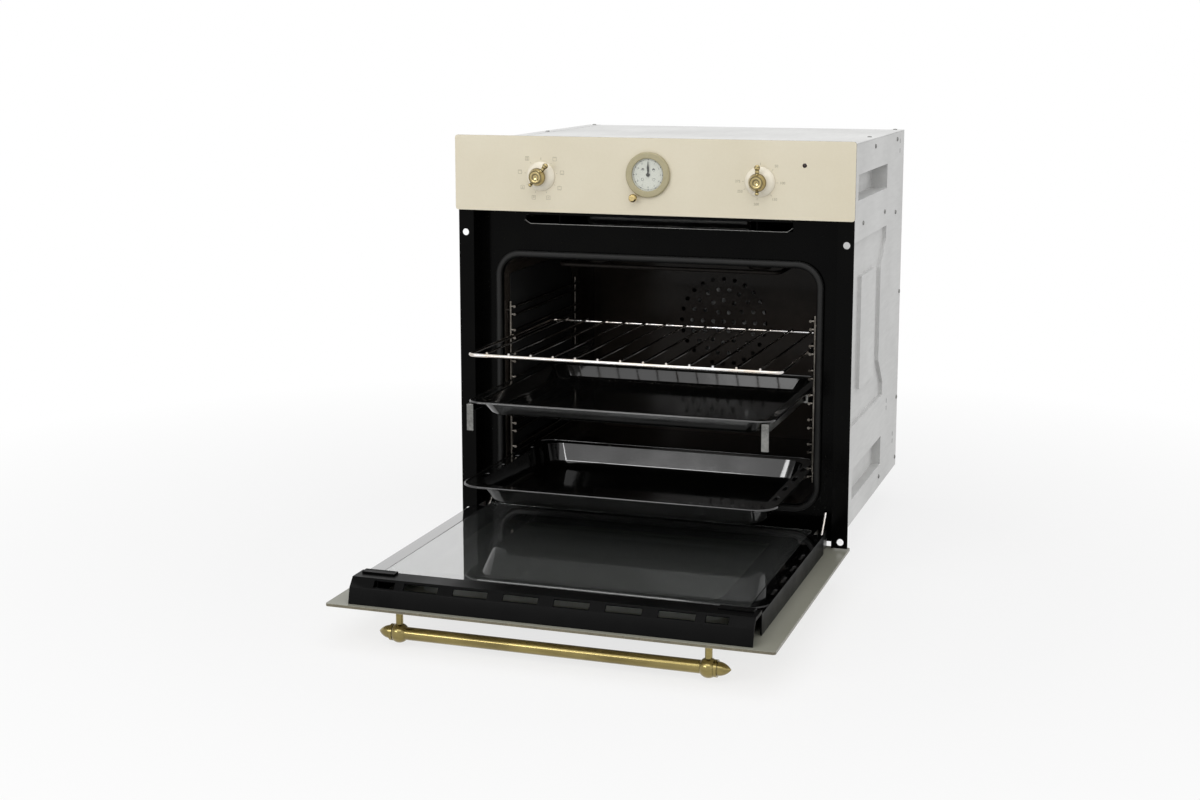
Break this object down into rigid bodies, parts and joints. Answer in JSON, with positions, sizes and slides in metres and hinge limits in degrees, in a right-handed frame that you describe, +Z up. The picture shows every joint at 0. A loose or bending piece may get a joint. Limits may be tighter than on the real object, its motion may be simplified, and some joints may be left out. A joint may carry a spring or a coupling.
{
  "type": "built-in oven",
  "caption": "Built-in oven with a cream glass control panel, analogue clock, brass knobs and handle, drop-down door, wire rack, trays on shelf ladders and a fan.",
  "frame": {"origin": "front foot of the cabinet niche: middle of the width, on the plane where the frame meets the cabinet front, at the height of the oven's underside", "axes": "+X to the right seen from the front, +Y into the oven, +Z up"},
  "size_m": [0.595, 1.013, 0.633],
  "materials": {
    "galvanised_steel": "galvanised",
    "black_enamel": "gloss vitreous enamel",
    "liner_enamel": "matt grey enamel",
    "black_profile": "satin black",
    "chrome": "polished",
    "zinc_steel": "zinc plated",
    "aged_brass": "antique",
    "mineral_wool": "matt",
    "gasket_rubber": "matt",
    "heater_tube": "heat-darkened",
    "lamp_ceramic": "matt",
    "lamp_glass": "clear",
    "cream_glass": "gloss, back-coated cream",
    "dark_glass": "gloss",
    "cream_plastic": "gloss",
    "switch_plastic": "matt",
    "khaki_bezel": "satin",
    "dial_white": "satin",
    "clock_glass": "clear",
    "hand_black": "satin",
    "pilot_lens": "gloss",
    "fan_aluminium": "mill"
  },
  "bodies": {
    "housing": {"base_panel": "galvanised_steel", "left_side_panel": "galvanised_steel", "right_side_panel": "galvanised_steel", "top_cover": "galvanised_steel", "back_panel": "galvanised_steel", "duct_floor": "galvanised_steel", "panel_carrier": "galvanised_steel", "fan_motor": "galvanised_steel", "blower_housing": "galvanised_steel", "thermostat": "galvanised_steel", "front_frame": "black_enamel", "oven_cavity": "black_enamel", "fan_cover": "black_enamel", "left_shelf_ladder": "chrome", "right_shelf_ladder": "chrome", "left_hinge_arm": "chrome", "right_hinge_arm": "chrome", "left_runner_rail": "zinc_steel", "right_runner_rail": "zinc_steel", "cavity_insulation": "mineral_wool", "door_gasket": "gasket_rubber", "grill_element": "heater_tube", "base_element": "heater_tube", "lamp_holder": "lamp_ceramic", "lamp_glass": "lamp_glass", "control_panel": "cream_glass", "selector_switch": "switch_plastic", "terminal_cover": "switch_plastic", "clock_movement": "switch_plastic", "clock_bezel": "khaki_bezel", "clock_dial": "dial_white", "clock_glass": "clock_glass", "pilot_lamp": "pilot_lens", "left_liner": "liner_enamel", "right_liner": "liner_enamel"},
    "door": {"door_outer_glass": "cream_glass", "door_inner_glass": "dark_glass", "door_top_profile": "black_profile", "door_bottom_profile": "black_profile", "door_left_profile": "black_profile", "door_right_profile": "black_profile", "left_hinge_channel": "zinc_steel", "right_hinge_channel": "zinc_steel", "handle_bar": "aged_brass", "handle_mounts": "aged_brass", "handle_finials": "aged_brass"},
    "rack": {"wire_rack": "chrome"},
    "tray": {"baking_tray": "black_enamel", "left_runner_slide": "zinc_steel", "right_runner_slide": "zinc_steel"},
    "deep_pan": {"deep_tray": "black_enamel"},
    "selector": {"selector_skirt": "cream_plastic", "selector_grip": "aged_brass"},
    "thermostat_knob": {"thermostat_skirt": "cream_plastic", "thermostat_grip": "aged_brass"},
    "set_knob": {"clock_set_knob": "aged_brass"},
    "minute": {"minute_hand": "hand_black"},
    "hour": {"hour_hand": "hand_black"},
    "fan": {"convection_fan": "fan_aluminium"},
    "blower": {"blower_wheel": "fan_aluminium"}
  },
  "joints": [
    {"name": "door_hinge", "type": "hinge", "parent": "housing", "child": "door", "pos_m": [0, 0.004, 0.006], "axis": [-1, 0, 0], "range_deg": [0, 90]},
    {"name": "rack_slide", "type": "slide", "parent": "housing", "child": "rack", "axis": [0, 1, 0], "range_m": [0, 0.187]},
    {"name": "tray_slide", "type": "slide", "parent": "housing", "child": "tray", "axis": [0, 1, 0], "range_m": [0, 0.208]},
    {"name": "deep_slide", "type": "slide", "parent": "housing", "child": "deep_pan", "axis": [0, 1, 0], "range_m": [0, 0.27]},
    {"name": "selector_turn", "type": "hinge", "parent": "housing", "child": "selector", "pos_m": [-0.163, -0.008, 0.52], "axis": [0, 1, 0], "continuous": true},
    {"name": "thermostat_turn", "type": "hinge", "parent": "housing", "child": "thermostat_knob", "pos_m": [0.163, -0.008, 0.52], "axis": [0, 1, 0], "range_deg": [0, 270]},
    {"name": "set_turn", "type": "hinge", "parent": "housing", "child": "set_knob", "pos_m": [-0.0198, -0.008, 0.493], "axis": [0, 1, 0], "continuous": true},
    {"name": "minute_turn", "type": "hinge", "parent": "housing", "child": "minute", "pos_m": [0, -0.008, 0.526], "axis": [0, 1, 0], "continuous": true},
    {"name": "hour_turn", "type": "hinge", "parent": "housing", "child": "hour", "pos_m": [0, -0.008, 0.526], "axis": [0, 1, 0], "continuous": true},
    {"name": "fan_spin", "type": "hinge", "parent": "housing", "child": "fan", "pos_m": [0, 0.4526, 0.25], "axis": [0, 1, 0], "continuous": true},
    {"name": "blower_spin", "type": "hinge", "parent": "housing", "child": "blower", "pos_m": [0, 0.1122, 0.4642], "axis": [1, 0, 0], "continuous": true}
  ],
  "couplings": [
    {"joint": "rack_slide", "follows": "door_hinge", "m_per_rad": 0.119},
    {"joint": "tray_slide", "follows": "door_hinge", "m_per_rad": 0.1324},
    {"joint": "deep_slide", "follows": "door_hinge", "m_per_rad": 0.1718},
    {"joint": "minute_turn", "follows": "set_turn", "ratio": 0.25},
    {"joint": "hour_turn", "follows": "set_turn", "ratio": 0.020833}
  ]
}
